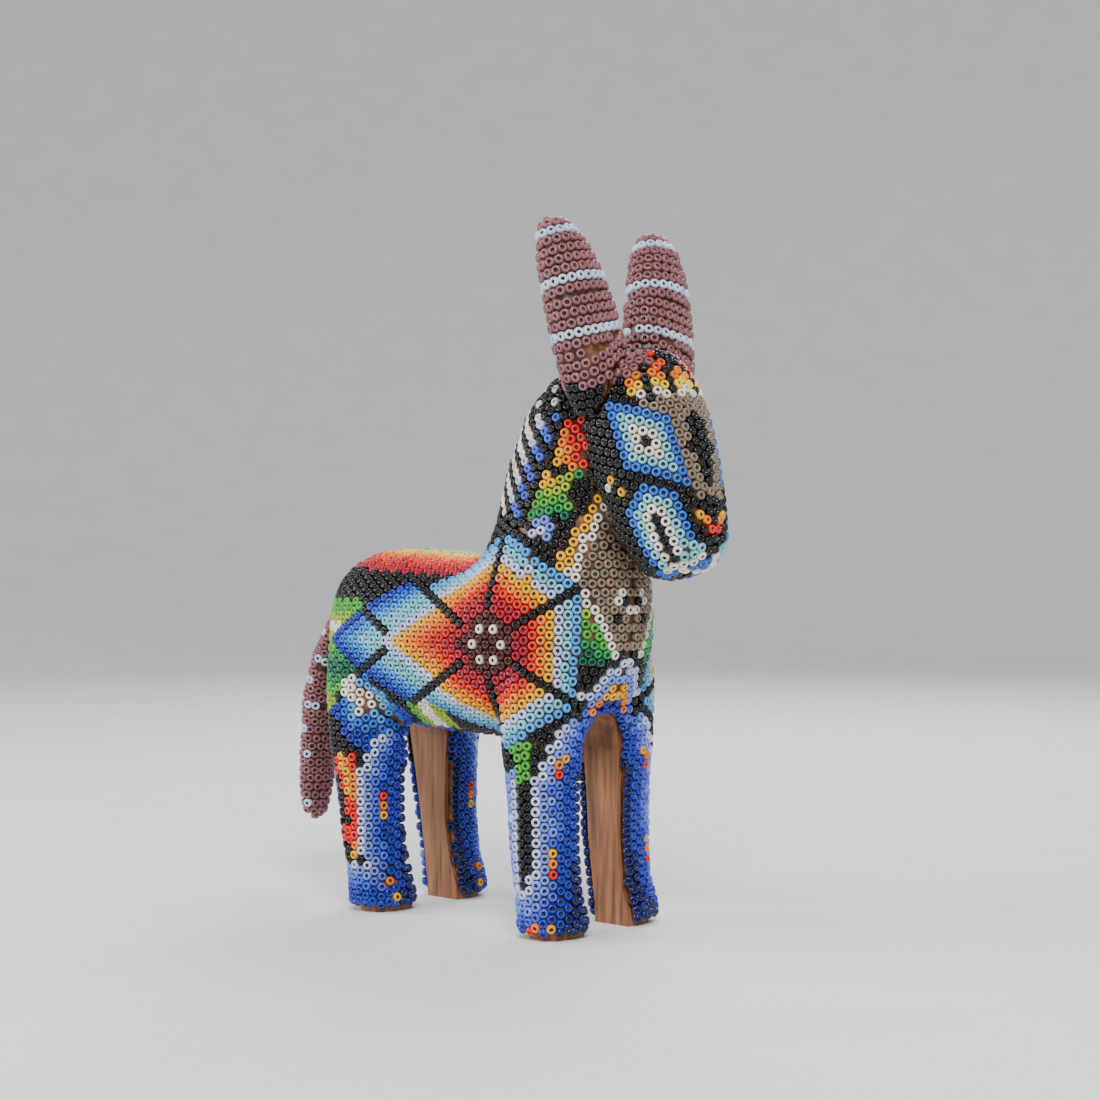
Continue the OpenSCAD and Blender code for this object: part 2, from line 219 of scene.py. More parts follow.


# Beads: the glass takes its colour from the tone stored on each bead, which also carries the painted shade
# inside each hole
glass = {"roughness": 0.16, "specular": 0.4, "cloud": 1400}


def glassMaterial():
    made, nodes, links = newMaterial("seedBeadGlass")
    shader = nodes["Principled BSDF"]
    shader.inputs["Roughness"].default_value = glass["roughness"]
    shader.inputs["Specular IOR Level"].default_value = glass["specular"]
    tone = nodes.new("ShaderNodeAttribute")
    tone.attribute_name = "tone"
    cloud = noisePattern(nodes, links, glass["cloud"])
    shade = rampFrom(nodes, links, cloud.outputs["Fac"], [(0.3, (0.84, 0.84, 0.84, 1)), (0.7, (1, 1, 1, 1))])
    blend = nodes.new("ShaderNodeMix")
    blend.data_type = "RGBA"
    blend.blend_type = "MULTIPLY"
    blend.inputs["Factor"].default_value = 1.0
    links.new(tone.outputs["Color"], blend.inputs["A"])
    links.new(shade.outputs["Color"], blend.inputs["B"])
    links.new(blend.outputs["Result"], shader.inputs["Base Color"])
    return made


# Bead tones, as they look on a screen
tones = {
    "black": "0c0c10", "coffee": "4a1c1c", "maroon": "6c1018", "crimson": "a8142a", "scarlet": "e02412",
    "vermilion": "ee4a10", "orange": "f57c0c", "golden": "f0ae08", "yellow": "f2c81a", "lime": "96b428",
    "leaf": "4aa838", "green": "1f8a48", "teal": "126048", "ivory": "efe6d8", "lavender": "c6cdee",
    "aqua": "7cc6d2", "sky": "4a9be0", "blue": "2a66c8", "royal": "1a2ea4", "navy": "101a5c",
    "periwinkle": "7088e2", "iris": "4058d2", "taupe": "84735f", "plum": "8c5a5e", "frost": "c9d4ea",
    "red": "c8141c",
}


def toneColor(name):
    code = tones[name]
    parts = [int(code[i:i + 2], 16) / 255 for i in (0, 2, 4)]
    return [(c / 12.92 if c < 0.04045 else ((c + 0.055) / 1.055) ** 2.4) for c in parts]


# The skin that beads are laid on: CAD layers joined, remeshed and smoothed
skin = {"swell": 0.15, "voxel": 0.7, "smooth": 0.5, "passes": 8}
beadNodes = sorted(name for name in frame["nodes"] if name.endswith("_beads"))
earNodes = ["left_ear_beads", "left_ear_wax", "left_ear_blank"]
tailNodes = ["tail_beads", "tail_wax", "tail_blank"]
bodyNodes = ["body_block", "body_wax"]
bodyNodes += [name for name in beadNodes if not name.endswith(("ear_beads", "tail_beads"))]


def joinedCopy(names, label):
    deselectAll()
    for name in names:
        twin = bpy.data.objects.new(label, frame["nodes"][name].data.copy())
        bpy.context.scene.collection.objects.link(twin)
        twin.select_set(True)
        bpy.context.view_layer.objects.active = twin
    bpy.ops.object.join()
    joined = bpy.context.object
    joined.data.materials.clear()
    return joined


def skinOver(names, label):
    joined = joinedCopy(names, label)
    bpy.ops.object.mode_set(mode="EDIT")
    bpy.ops.mesh.select_all(action="SELECT")
    bpy.ops.mesh.remove_doubles(threshold=0.01 * mm)
    bpy.ops.object.mode_set(mode="OBJECT")
    swell = joined.modifiers.new("swell", "DISPLACE")
    swell.mid_level = 0
    swell.strength = skin["swell"] * mm
    bpy.ops.object.modifier_apply(modifier="swell")
    remesh = joined.modifiers.new("remesh", "REMESH")
    remesh.mode = "VOXEL"
    remesh.voxel_size = skin["voxel"] * mm
    bpy.ops.object.modifier_apply(modifier="remesh")
    keepOuterShell(joined)
    soften = joined.modifiers.new("soften", "SMOOTH")
    soften.factor = skin["smooth"]
    soften.iterations = skin["passes"]
    bpy.ops.object.modifier_apply(modifier="soften")
    return joined


def keepOuterShell(thing):
    top = max(thing.data.vertices, key=lambda v: v.co.z).index
    selectOnly(thing)
    bpy.ops.object.mode_set(mode="EDIT")
    bpy.ops.mesh.select_all(action="DESELECT")
    bpy.ops.object.mode_set(mode="OBJECT")
    thing.data.vertices[top].select = True
    bpy.ops.object.mode_set(mode="EDIT")
    bpy.ops.mesh.select_mode(type="VERT")
    bpy.ops.mesh.select_linked()
    bpy.ops.mesh.select_all(action="INVERT")
    bpy.ops.mesh.delete(type="VERT")
    bpy.ops.object.mode_set(mode="OBJECT")


def treeOf(thing):
    data = thing.data
    return BVHTree.FromPolygons([v.co for v in data.vertices], [p.vertices for p in data.polygons])


# One tree over every layer of beads, which says what layer a point is in
class BeadLayers:
    def __init__(self):
        points, faces, self.owners = [], [], []
        for name in beadNodes:
            data = frame["nodes"][name].data
            first = len(points)
            points += [v.co.copy() for v in data.vertices]
            faces += [[first + i for i in p.vertices] for p in data.polygons]
            self.owners += [name] * len(data.polygons)
        self.tree = BVHTree.FromPolygons(points, faces)

    def nearestTo(self, spot):
        return self.owners[self.tree.find_nearest(spot)[2]]

    # The layer that a point is in, or lies just above where the skin bridges a hollow
    def layerAt(self, spot, outward):
        near, normal, face, gap = self.tree.find_nearest(spot)
        above = gap < bead["bridge"] * mm and (spot - near).dot(outward) > bead["upright"] * gap
        inside = (spot - near).dot(normal) < 0 or gap < bead["slack"] * mm or above
        return self.owners[face] if inside else None


# Millimetres, except for the shares of the pitch that two beads keep between them: close, fill, tight, refill
bead = {"pitch": 2.15, "rise": 1.9, "layer": 1.3, "margin": 0.8, "slack": 0.18, "bridge": 2.2,
        "upright": 0.75, "cover": 1.5, "close": 0.84, "fill": 0.94, "tight": 0.78, "refill": (0.76, 0.68),
        "junction": 2.6, "fine": 6, "stall": 0.2, "seed": 7, "sides": 10}
pitch = bead["pitch"] * mm
column = pitch * math.sqrt(3) / 2
fineStep = pitch / bead["fine"]
rowRise = bead["rise"] * mm
outside = 0.06  # a distance that is surely outside the figure


# Walks along a skin in the plane through the start, and gives points with the distance walked
def walk(tree, start, across, way, goOn):
    trail = [(start.copy(), 0.0)]
    here, walked = start.copy(), 0.0
    while goOn(here, walked):
        normal = tree.find_nearest(here)[1]
        heading = across.cross(normal) * way
        if heading.length < 1e-6:
            break
        spot = tree.find_nearest(here + heading.normalized() * fineStep)[0]
        spot = spot - across * (spot - start).dot(across)
        walked += (spot - here).length
        if (spot - here).length < fineStep * bead["stall"]:
            break
        here = spot
        trail.append((here.copy(), walked))
    return trail


def pointAt(trail, distance):
    for (a, start), (b, end) in zip(trail, trail[1:]):
        if start <= distance <= end:
            return a.lerp(b, (distance - start) / max(end - start, 1e-9))
    return None


# The bed holds the beads laid so far, for the body on its right half only
class Bed:
    def __init__(self, wood=None):
        self.beads, self.cells, self.wood = [], {}, wood

    # The layer under a place on the skin, or nothing where the wood is bare
    def layerUnder(self, near, normal):
        middle = near - normal * bead["layer"] / 2 * mm
        if self.wood is None:
            return layers.layerAt(middle, normal)
        bare = self.wood.find_nearest(near)[3] < bead["cover"] * mm
        return None if bare else layers.nearestTo(middle)

    def recount(self):
        self.cells.clear()
        for b in self.beads:
            self.cells.setdefault(self.cell(b["spot"]), []).append(b["spot"])

    def cell(self, spot):
        return tuple(int(math.floor(c / pitch)) for c in spot)

    def nearest(self, spot):
        x, y, z = self.cell(spot)
        best = 1.0
        for i in (-1, 0, 1):
            for j in (-1, 0, 1):
                for k in (-1, 0, 1):
                    for other in self.cells.get((x + i, y + j, z + k), ()):
                        best = min(best, (other - spot).length)
        return best

    def lay(self, tree, spot, chart, u, v, space=bead["close"], fields=None):
        near, normal, _, _ = tree.find_nearest(spot)
        layer = self.layerUnder(near, normal)
        if layer is None or (fields and not any(field in layer for field in fields)):
            return False
        if self.nearest(near) < space * pitch:
            return False
        side = normal.orthogonal().normalized()
        other = normal.cross(side)
        for reach in (side, other, -side, -other):
            beside, facing, _, _ = tree.find_nearest(near + reach * bead["margin"] * mm)
            if self.layerUnder(beside, facing) is None:
                return False
        self.beads.append({"spot": near.copy(), "normal": normal.copy(), "tree": tree, "chart": chart,
                           "u": u, "v": v, "layer": layer})
        self.cells.setdefault(self.cell(near), []).append(near.copy())
        return True


# Charts: where the rows of beads run on each part of the figure, in millimetres
row = {"longest": 70, "past": 1, "most": 40, "steep": 0.78, "start": 0.5}


def beforeMiddle(here, walked):
    return here.y < 0 and walked < row["longest"] * mm


def atSide(here, walked):
    return here.y < row["past"] * mm and walked < row["longest"] * mm


barrel = {"star": (16.3, 59.7), "behind": 32, "ahead": 14, "tall": 30, "steep": 0.78, "foot": 38.5, "look": 4}


# Upright columns round the barrel, counted from the centre of the star
def layBarrel(bed, tree):
    starX, starZ = barrel["star"]
    centre = tree.ray_cast(Vector((starX * mm, -outside, starZ * mm)), Vector((0, 1, 0)))[0]
    level = {way: walk(tree, centre, Vector((0, 0, 1)), way, beforeMiddle) for way in (1, -1)}
    for q in sorted(range(-barrel["behind"], barrel["ahead"] + 1), key=abs):
        trail = level[1 if q > 0 else -1]
        hit = pointAt(trail, abs(q) * column)
        ahead = pointAt(trail, (abs(q) + 0.5) * column)
        if hit is None or ahead is None:
            continue
        across = (ahead - hit).normalized() * (-1 if q > 0 else 1)
        for way in (1, -1):
            trail = walk(tree, hit, across, way, beforeMiddle)
            rises = trail[min(barrel["look"], len(trail) - 1)][0].z > hit.z
            offset = 0.5 if q % 2 else 0.0
            for i in range(barrel["tall"]):
                distance = i + offset if rises else (i + (1 - offset if offset else 1))
                spot = pointAt(trail, distance * pitch)
                if spot is None:
                    break
                steepness = abs(tree.find_nearest(spot)[1].dot(across))
                if spot.z > barrel["foot"] * mm and steepness < barrel["steep"]:
                    bed.lay(tree, spot, "barrel", q, distance if rises else -distance,
                            fields=("flank", "back", "leg"))


# Starts of rows square to an axis, each with its number and the direction its row is square to
def startsAlong(tree, origin, axis, outward, rows, rise):
    axis = Vector(axis).normalized()
    outward = Vector(outward).normalized()
    found = []
    for k in rows:
        middle = Vector(origin) * mm + axis * (k * rise * mm)
        hit = tree.ray_cast(middle + outward * outside, -outward)[0]
        if hit is not None and hit.y < row["start"] * mm:
            found.append((k, hit, axis))
    return found


chest = {"foot": 47, "top": 97, "length": 60, "rows": 40, "aside": 0.05}


def belowThroat(here, walked):
    return here.z < chest["top"] * mm and walked < chest["length"] * mm


# Starts of rows at even steps up the middle of the chest
def startsUpChest(tree):
    ahead = Vector((outside, -chest["aside"] * mm, chest["foot"] * mm))
    foot = tree.ray_cast(ahead, Vector((-1, 0, 0)))[0]
    trail = walk(tree, foot, Vector((0, 1, 0)), -1, belowThroat)
    found = []
    for k in range(chest["rows"]):
        hit = pointAt(trail, k * rowRise)
        ahead = pointAt(trail, k * rowRise + fineStep)
        if hit is not None and ahead is not None:
            found.append((k, hit, (ahead - hit).normalized()))
    return found


# From each start the row is walked round the part, with a bead at every step
def layRows(bed, tree, chart, starts, step, fields, turned=1, limit=row["steep"], ways=(1, -1),
            most=row["most"]):
    for k, hit, axis in starts:
        shift = 0.5 * (k % 2)
        for way in ways:
            trail = walk(tree, hit, axis, way, atSide)
            for i in range(row["most"]):
                count = i + shift if way > 0 else i + 1 - shift
                spot = pointAt(trail, count * step)
                if spot is None or count > most:
                    break
                if abs(tree.find_nearest(spot)[1].dot(axis)) < limit:
                    bed.lay(tree, spot, chart, way * count * turned, k, fields=fields)


mane = {"foot": (29.5, 0, 82), "axis": (0.3, 0, 0.954), "outward": (-0.954, 0, 0.3), "rows": range(-10, 44),
        "columns": 6}


def layMane(bed, tree):
    narrow = Bed(bed.wood)
    narrow.cells = bed.cells
    starts = startsAlong(tree, mane["foot"], mane["axis"], mane["outward"], mane["rows"], bead["pitch"] / 2)
    layRows(narrow, tree, "mane", starts, 2 * column, ("neck",), ways=(1,), most=mane["columns"])
    bed.beads += narrow.beads


sides = {
    "head": {"start": (37.2, 0, 118.5), "axis": (0.342, 0, -0.94), "rows": range(-8, 52), "field": "head"},
    "neck": {"start": (29.5, 0, 82), "axis": (0.3, 0, 0.954), "rows": range(-12, 46), "field": "neck"},
    "frontLeg": {"start": (24.9, 0, 2.6), "axis": (0, 0, 1), "rows": range(0, 42), "field": "front_leg"},
    "rearLeg": {"start": (-26.5, 0, 2.6), "axis": (0, 0, 1), "rows": range(0, 42), "field": "rear_leg"},
}
rump = {"start": (-38, 0, 26), "rows": range(0, 52), "fields": ("flank", "back", "leg")}


def laySide(bed, tree, chart, limit=row["steep"]):
    plan = sides[chart]
    starts = startsAlong(tree, plan["start"], plan["axis"], (0, -1, 0), plan["rows"], bead["pitch"] / 2)
    turned = -1 if chart == "head" else 1
    layRows(bed, tree, chart, starts, 2 * column, (plan["field"],), turned, limit)


def layBody(bed, tree):
    layBarrel(bed, tree)
    print("barrel beads:", len(bed.beads))
    laySide(bed, tree, "head")
    laySide(bed, tree, "head", 1)
    layMane(bed, tree)
    laySide(bed, tree, "neck")
    layRows(bed, tree, "chest", startsUpChest(tree), pitch, ("chest", "flank", "leg", "neck"), ways=(-1,))
    laySide(bed, tree, "frontLeg")
    laySide(bed, tree, "rearLeg")
    starts = startsAlong(tree, rump["start"], (0, 0, 1), (-1, 0, 0), rump["rows"], bead["pitch"] / 2)
    layRows(bed, tree, "rump", starts, 2 * column, rump["fields"], ways=(1,))
    print("body beads:", len(bed.beads))
    fillGaps(bed, tree, True, bead["fill"])
    print("with fillers:", len(bed.beads))


# Beads that fill what the rows leave, as a maker's hand would
def fillGaps(bed, tree, halfOnly, space, chart="fill"):
    spots = [tree.find_nearest(p)[0] for p in bed.sources]
    random.Random(bead["seed"]).shuffle(spots)
    for spot in spots:
        if halfOnly and spot.y > -0.3 * pitch:
            continue
        bed.lay(tree, spot, chart, 0, 0, space=space)


# Beads along the hollow where the ear meets the head
def closeJunction(bed):
    joined = skinOver(bodyNodes + [name.replace("left", "right") for name in earNodes], "junctionSkin")
    tree = treeOf(joined)
    reach = bead["junction"] * mm
    bed.sources = [v.co.copy() for v in joined.data.vertices
                   if earTree.find_nearest(v.co)[3] < reach and bodyTree.find_nearest(v.co)[3] < reach]
    blank = joinedCopy(["body_block", "right_ear_blank"], "junctionWood")
    bed.wood = treeOf(blank)
    fillGaps(bed, tree, True, bead["tight"], "hollow")
    settle(bed.beads, True)
    print("with the hollow under the ear:", len(bed.beads))
    bpy.data.objects.remove(joined)
    bpy.data.objects.remove(blank)


# Rings round an ear or the tail, square to its spine; each row is closed with a whole number of beads
rings = {
    "ear": {"spine": [(37.6, -7.2, 111.5), (37, -11.5, 120), (35.4, -13.6, 130.6), (32.8, -15.2, 141.1),
                      (31.3, -15.9, 146.6)], "rows": 20, "rise": 2.1, "outward": (0, -1, 0)},
    "tail": {"spine": [(-40, 0, 65.9), (-43, 0, 65), (-47.5, 0, 61.6), (-52.5, 0, 53.5), (-55.6, 0, 43.9),
                       (-56.7, 0, 33.8), (-57.4, 0, 24.2), (-57.8, 0, 16)],
             "rows": 34, "rise": 1.95, "outward": (-1, 0, 0.3)},
}
ring = {"reach": 0.04, "open": 5, "closed": 0.9, "longest": 80}


def layRings(bed, tree, chart):
    plan = rings[chart]
    points = [Vector(p) * mm for p in plan["spine"]]
    lengths = [0.0]
    for a, b in zip(points, points[1:]):
        lengths.append(lengths[-1] + (b - a).length)
    for k in range(plan["rows"]):
        at = k * plan["rise"] * mm
        if at > lengths[-1]:
            break
        i = max(j for j in range(len(points) - 1) if lengths[j] <= at)
        axis = (points[i + 1] - points[i]).normalized()
        middle = points[i] + axis * (at - lengths[i])
        out = Vector(plan["outward"])
        out = (out - axis * out.dot(axis)).normalized()
        hit = tree.ray_cast(middle + out * ring["reach"], -out)[0]
        if hit is None:
            continue

        def stillOpen(here, walked):
            near = (here - hit).length <= fineStep * ring["closed"]
            return walked < ring["open"] * mm or not near and walked < ring["longest"] * mm

        trail = walk(tree, hit, axis, 1, stillOpen)
        around = trail[-1][1]
        count = max(1, round(around / pitch))
        for n in range(count):
            place = n + 0.5 * (k % 2)
            spot = pointAt(trail, place * around / count)
            if spot is not None:
                bed.lay(tree, spot, chart, place / count, k)


def spotTree(spots):
    tree = KDTree(len(spots))
    for i, spot in enumerate(spots):
        tree.insert(spot, i)
    tree.balance()
    return tree


# Pushes beads that crowd each other a little apart, along the skin
settling = {"passes": 14, "push": 0.4, "apart": 0.99, "facing": 1.1}


def settle(beads, halfOnly):
    apart = pitch * settling["apart"]
    spots = [b["spot"].copy() for b in beads]
    for _ in range(settling["passes"]):
        ghosts = [Vector((s.x, -s.y, s.z)) for s in spots if halfOnly and abs(s.y) < pitch]
        tree = spotTree(spots + ghosts)
        moved = []
        for i, spot in enumerate(spots):
            shift = Vector((0, 0, 0))
            for near, j, gap in tree.find_range(spot, apart):
                if j != i and gap > 1e-7:
                    shift += (spot - near).normalized() * (apart - gap) * settling["push"]
            spot = beads[i]["tree"].find_nearest(spot + shift)[0]
            if halfOnly and spot.y > 0:
                spot.y = 0
            moved.append(spot)
        spots = moved
    for b, spot in zip(beads, spots):
        b["spot"] = spot
        total = Vector((0, 0, 0))
        for found in b["tree"].find_nearest_range(spot, settling["facing"] * mm):
            total += found[1]
        b["normal"] = total.normalized() if total.length > 1e-6 else b["normal"]


# The patterns
def hexRing(q, s):
    return max(abs(q), abs(s - q / 2), abs(s + q / 2))


def pick(names, index):
    index = int(round(index))
    return names[index] if 0 <= index < len(names) else "black"


starRings = ["coffee"] * 4 + ["crimson", "crimson", "scarlet", "orange", "golden", "lavender", "aqua", "sky"]
rearRings = ["coffee"] * 3 + ["crimson", "red", "vermilion", "orange", "golden", "lavender", "aqua", "aqua",
                              "sky", "blue", "royal"]


def barrelTone(q, s, x, y, z):
    ring = hexRing(q, s)
    if ring < 3.5 and abs(math.hypot(q * math.sqrt(3) / 2, s) - math.sqrt(3)) < 0.2:
        return "ivory"
    if q < 0 and abs(s) <= -q / 2 + 0.01:
        a, b = (-q + 2 * s) / 2, (-q - 2 * s) / 2
        low, high = min(a, b), max(a, b)
        if high <= 13.2:
            if (high > 3 and low < 0.3) or (high > 8.3 and abs(low - 7) < 0.3):
                return "black"
            return pick(rearRings, high)
    elif ring <= 11.2:
        ray = abs(q) < 0.3 or abs(abs(s) - abs(q) / 2) < 0.2
        return "black" if ray and ring > 3.2 else pick(starRings, ring)
    return fieldTone(s, x, y, z)


backRows = ["crimson", "red", "scarlet", "orange", "golden", "yellow", "lime", "leaf", "green"]
zigzag = {"start": (-24.2, 51.8), "turns": (-120, -90, -30, 30, -60, -120), "reach": 1.3}


# The zigzag's places, a bead apart, from the turn of each step
def zigzagPlaces():
    places = [zigzag["start"]]
    for turn in zigzag["turns"]:
        x, z = places[-1]
        turn = math.radians(turn)
        places.append((x + bead["pitch"] * math.cos(turn), z + bead["pitch"] * math.sin(turn)))
    return places


# Lines of lavender beads that edge the arches over the legs, on the right side: each runs from the foot past
# the knee to the spring, and on in a curve to the crown
arches = {
    "front": {"foot": (27, -19, 8), "knee": (29, -17.5, 22), "spring": (29, -18, 32), "crown": (38, 0, 55.5),
              "power": 1.35, "steps": 8, "hub": (38, 0, 36)},
    "rear": {"foot": (-21, -18.5, 7.5), "knee": (-22.5, -19, 17), "spring": (-22.5, -19, 27),
             "crown": (-7, -16, 39.5), "power": 2, "steps": 8, "hub": (-6, -8, 26)},
}
archBands = ["lavender", "periwinkle", "iris", "royal", "royal", "navy"]


# Draws the arches' lines on the skin
def drawArchLines(tree):
    for arch in arches.values():
        foot, knee, spring, crown = (Vector(arch[end]) for end in ("foot", "knee", "spring", "crown"))
        points = [foot, knee]
        for i in range(arch["steps"] + 1):
            turn = i / arch["steps"] * math.pi / 2
            out = max(math.cos(turn), 0) ** (2 / arch["power"])
            up = math.sin(turn) ** (2 / arch["power"])
            point = crown.lerp(spring, out)
            point.z = spring.z + (crown.z - spring.z) * up
            points.append(point)
        arch["line"] = [tree.find_nearest(p * mm)[0] / mm for p in points]


def bandTone(rows):
    return archBands[min(max(int(round(rows)), 0), len(archBands) - 1)]


# How many rows inside an arch's line a spot lies, below zero outside it
def rowsInside(arch, x, y, z):
    spot = Vector((x, -abs(y), z))
    points = arch["line"]
    best, foot = 99, points[0]
    for a, b in zip(points, points[1:]):
        share = (spot - a).dot(b - a) / (b - a).length_squared
        near = a.lerp(b, min(max(share, 0), 1))
        if (spot - near).length < best:
            best, foot = (spot - near).length, near
    hub = Vector((arch["hub"][0], arch["hub"][1], min(foot.z, arch["hub"][2])))
    inside = (spot - hub).length < (foot - hub).length
    return best / 2 if inside else -best / 2


def fieldTone(s, x, y, z):
    if s > 7.9 and x < 9:
        return pick(backRows, s - 8.4)
    if x > 28 and z > 50:
        return chestTone(x, y, z)
    if z < 44 and x > 8:
        return frontLegTone(x, y, z)
    if x < -4 and z < 41:
        rows = rowsInside(arches["rear"], x, y, z)
        if rows > -0.5 or z < 34:
            return rearLegTone(x, y, z)
    fromZigzag = min(math.hypot(x - a, z - b) for a, b in zigzagPlaces())
    if fromZigzag < zigzag["reach"] and abs(y) > 10:
        return "ivory"
    if x < -11:
        return rumpTone(x, z)
    if z < 47.5 and -12.5 < x < 4 and z > 41:
        return pick(["leaf", "lime", "ivory", "lime"], (x + 11) / 3.2)
    return "black"


rumpBands = ["lime", "lime", "leaf", "green", "teal", "green", "leaf", "lime", "ivory", "lime", "leaf"]


# The lower diamond on the rump, and the greens above it
def rumpTone(x, z):
    across = abs(x + 21.5) / 9.5 + abs(z - 43.2) / 9.2
    if across < 1:
        rows = math.hypot(x + 21.5, z - 46) / bead["rise"]
        return pick(["aqua", "aqua", "sky", "blue", "royal", "royal", "navy"], rows)
    if across < 1.2 or x > -21 or z < 40:
        return "black"
    return pick(rumpBands, (z - 44) / 2.3)


def headTone(u, k, x, y, z):
    m, v = u * 2, k / 2
    i, j = m - 1, (v - 5.5) - (m - 1) / 2
    if -0.3 < i < 6.3 and -0.3 < j < 6.3:
        return pick(["blue", "aqua", "ivory", "black"], min(i, 6 - i, j, 6 - j))
    slot = hexRing(m - 2, min(0, v - 17))
    if v > 12 and slot < 3.3:
        return pick(["black", "ivory", "aqua", "blue"], slot)
    along = (x - 37.2) * 0.342 + (118.5 - z) * 0.94
    if x > 46 and along < 13.4 and z > 110:
        if round(m) % 3 == 0:
            return "black"
        rows = (along - 2.5) / bead["rise"]
        return pick(["scarlet", "scarlet", "vermilion", "orange", "yellow", "ivory"], rows)
    if x > 44 and 13 <= along < 35 and m > 3.5 and j < 8.5:
        lens = abs(along - 24) / 10.5 + abs(y) / 5.2
        if m > 7.4:
            return "black" if lens < 0.85 else "taupe"
        if j < 0 and i > 1.6:
            return "taupe"
    return "black"


def maneTone(u, k):
    c = abs(u) * 2
    if round(k + c) % 4 == 0 and c > 0.2:
        return "ivory" if c < 8.5 else pick(["lavender", "iris", "iris"], c - 9)
    return "black"


def neckTone(x, y, z):
    rim = 36.4 + (110.6 - z) * 0.2
    foot = 94.8 + max(0, 31.6 - x) * 1.3
    if foot < z < 110.8 - (37.9 - x) * 0.62 and -2.4 < rim - x < 13:
        rows = max(0, rim - x) / bead["rise"]
        return pick(["maroon", "crimson", "scarlet", "scarlet", "orange", "golden", "yellow"], rows)
    if 23.4 < x < 31 and abs(z - 98) < 1.1 or 23 < x < 25.2 and 94.6 < z < 98:
        return "golden"
    if 86 < z < 94.6 and abs(x - 28.6) < 6.6 + (z - 86) * 0.12:
        if z > 92.4 and x < 28.5:
            return "golden"
        edge = min(35.6 - x, z - 85.5, (x - 21.8) * 1.4)
        return pick(["teal", "green", "leaf", "lime", "lime", "lime", "lime"], edge / 1.7)
    if 77 < z < 85.6 and abs(x - 26.4) < (z - 76.6) * 0.45:
        return "periwinkle" if z > 83.6 or x - 26.4 > (z - 78.8) * 0.3 else "lavender"
    if 75 < z < 91 and x > 31 and abs(y) < 12.6:
        return chestTone(x, y, z)
    return "black"


def chestTone(x, y, z):
    rows = rowsInside(arches["front"], x, y, z)
    y = abs(y)
    if rows > -0.5 and z < 57:
        if abs(rows - 2.2) < 0.55 and y < 6.5:
            return pick(["golden", "golden", "orange", "scarlet"], y / bead["pitch"])
        return bandTone(rows)
    if rows > -1.5 and z < 60:
        return "black"
    border = 3.6 + (z - 58) * 0.52 if z < 72 else 11.2 - max(0, z - 75) * 0.42
    if y < border - 0.4:
        return "taupe"
    if y < border + 1.7:
        return "ivory"
    if z > 74:
        return "golden" if y < border + 3.4 else "black"
    if y < min(border + 1.7 + (74 - z) * 0.9, 14.6):
        down = (72 - z) / 3.6 + (y - border) / 4
        return pick(["lime", "lime", "lime", "leaf", "leaf", "green", "teal"], down)
    return "black"


def frontLegTone(x, y, z):
    rows = rowsInside(arches["front"], x, y, z)
    if z < 9.3:
        return bandTone(max(rows, (9.6 - z) / 2.6))
    if rows > -0.5:
        return bandTone(rows)
    if x < 23.6 and z < 34:
        return bandTone(math.hypot(x - 22.6, abs(y) - 18.6) / 2)
    wide = (z - 29.4) * 0.3
    if abs(x - 25.7) < wide and z < 39.8:
        return "lime" if abs(x - 25.7) < wide - 1.4 and z < 37.6 else "leaf"
    return "black"


def rearLegTone(x, y, z):
    rows = rowsInside(arches["rear"], x, y, z)
    if z < 10.4:
        return bandTone(max(rows, (10.6 - z) / 2))
    if rows > -0.5:
        return bandTone(rows)
    if x < -30.4 and z < 31:
        return bandTone(math.hypot(x + 31.2, abs(y) - 15.5) / 2)
    middle = -25.3 - max(0, z - 26) * 0.28
    wide = max(1.1, 3.9 - abs(z - 32) * 0.24)
    if abs(x - middle) < wide and z < 40 and abs(y) > 10:
        if z < 15.4:
            return "golden" if z < 13.2 else "orange"
        share = (x - middle) / wide
        return "scarlet" if z < 25 or abs(share) > 0.55 else "golden" if share < 0.1 else "orange"
    return "black"


def earTone(k):
    return "frost" if k % 5 == 1 and k > 1 else "plum"


def tailTone(u, k):
    shift = 0.06 if k % 6 else -0.06
    nearLine = min(abs(u - 0.25 - shift), abs(u - 0.75 + shift)) < 0.045
    return "frost" if k % 3 == 0 and nearLine else "plum"


# Small motifs: each is a run of beads from a start place, the distance from the middle plane given as y
motifs = [
    {"name": "cheek, outer", "start": (43, 12, 93), "step": (1.5, 0, -2), "tones": ["golden", "golden"]},
    {"name": "cheek, inner", "start": (42, 11, 91), "step": (0, 0, 0), "tones": ["ivory"]},
    {"name": "nostril", "start": (59.5, 4, 87), "step": (0.5, -1.5, -2),
     "tones": ["golden", "orange", "scarlet"]},
    {"name": "chest, light", "start": (39, 3.5, 71), "step": (0, 0, -2.5), "tones": ["ivory", "ivory"]},
    {"name": "chest, middle", "start": (39, 1, 67), "step": (0, 0, 0), "tones": ["ivory"]},
    {"name": "chest, dark", "start": (39, 1.5, 69.5), "step": (0, 0, 0), "tones": ["black"]},
    {"name": "chest, corner", "start": (39, 4.5, 66), "step": (0, -1, -1.5), "tones": ["black", "black"]},
    {"name": "front arch", "start": (32, 12.5, 37), "step": (0, 1, -2),
     "tones": ["golden", "orange", "scarlet"]},
    {"name": "front leg", "start": (31, 14.5, 18.5), "step": (0, 0, -2.2),
     "tones": ["golden", "orange", "scarlet"]},
    {"name": "front foot", "start": (27, 18.5, 2.5), "step": (1.75, -1.2, 0),
     "tones": ["scarlet", "orange", "golden"]},
    {"name": "rear leg", "start": (-20, 14, 26), "step": (0, 0, -2.15),
     "tones": ["scarlet", "orange", "golden"]},
    {"name": "rear foot", "start": (-18, 14, 8), "step": (0.7, 0, -2),
     "tones": ["scarlet", "orange", "golden"]},
]


# The lower edge of an ear's own colour, where it meets the head
def aboveEarEdge(x, z):
    return z > 111.4 + max(0, x - 42) * 0.85


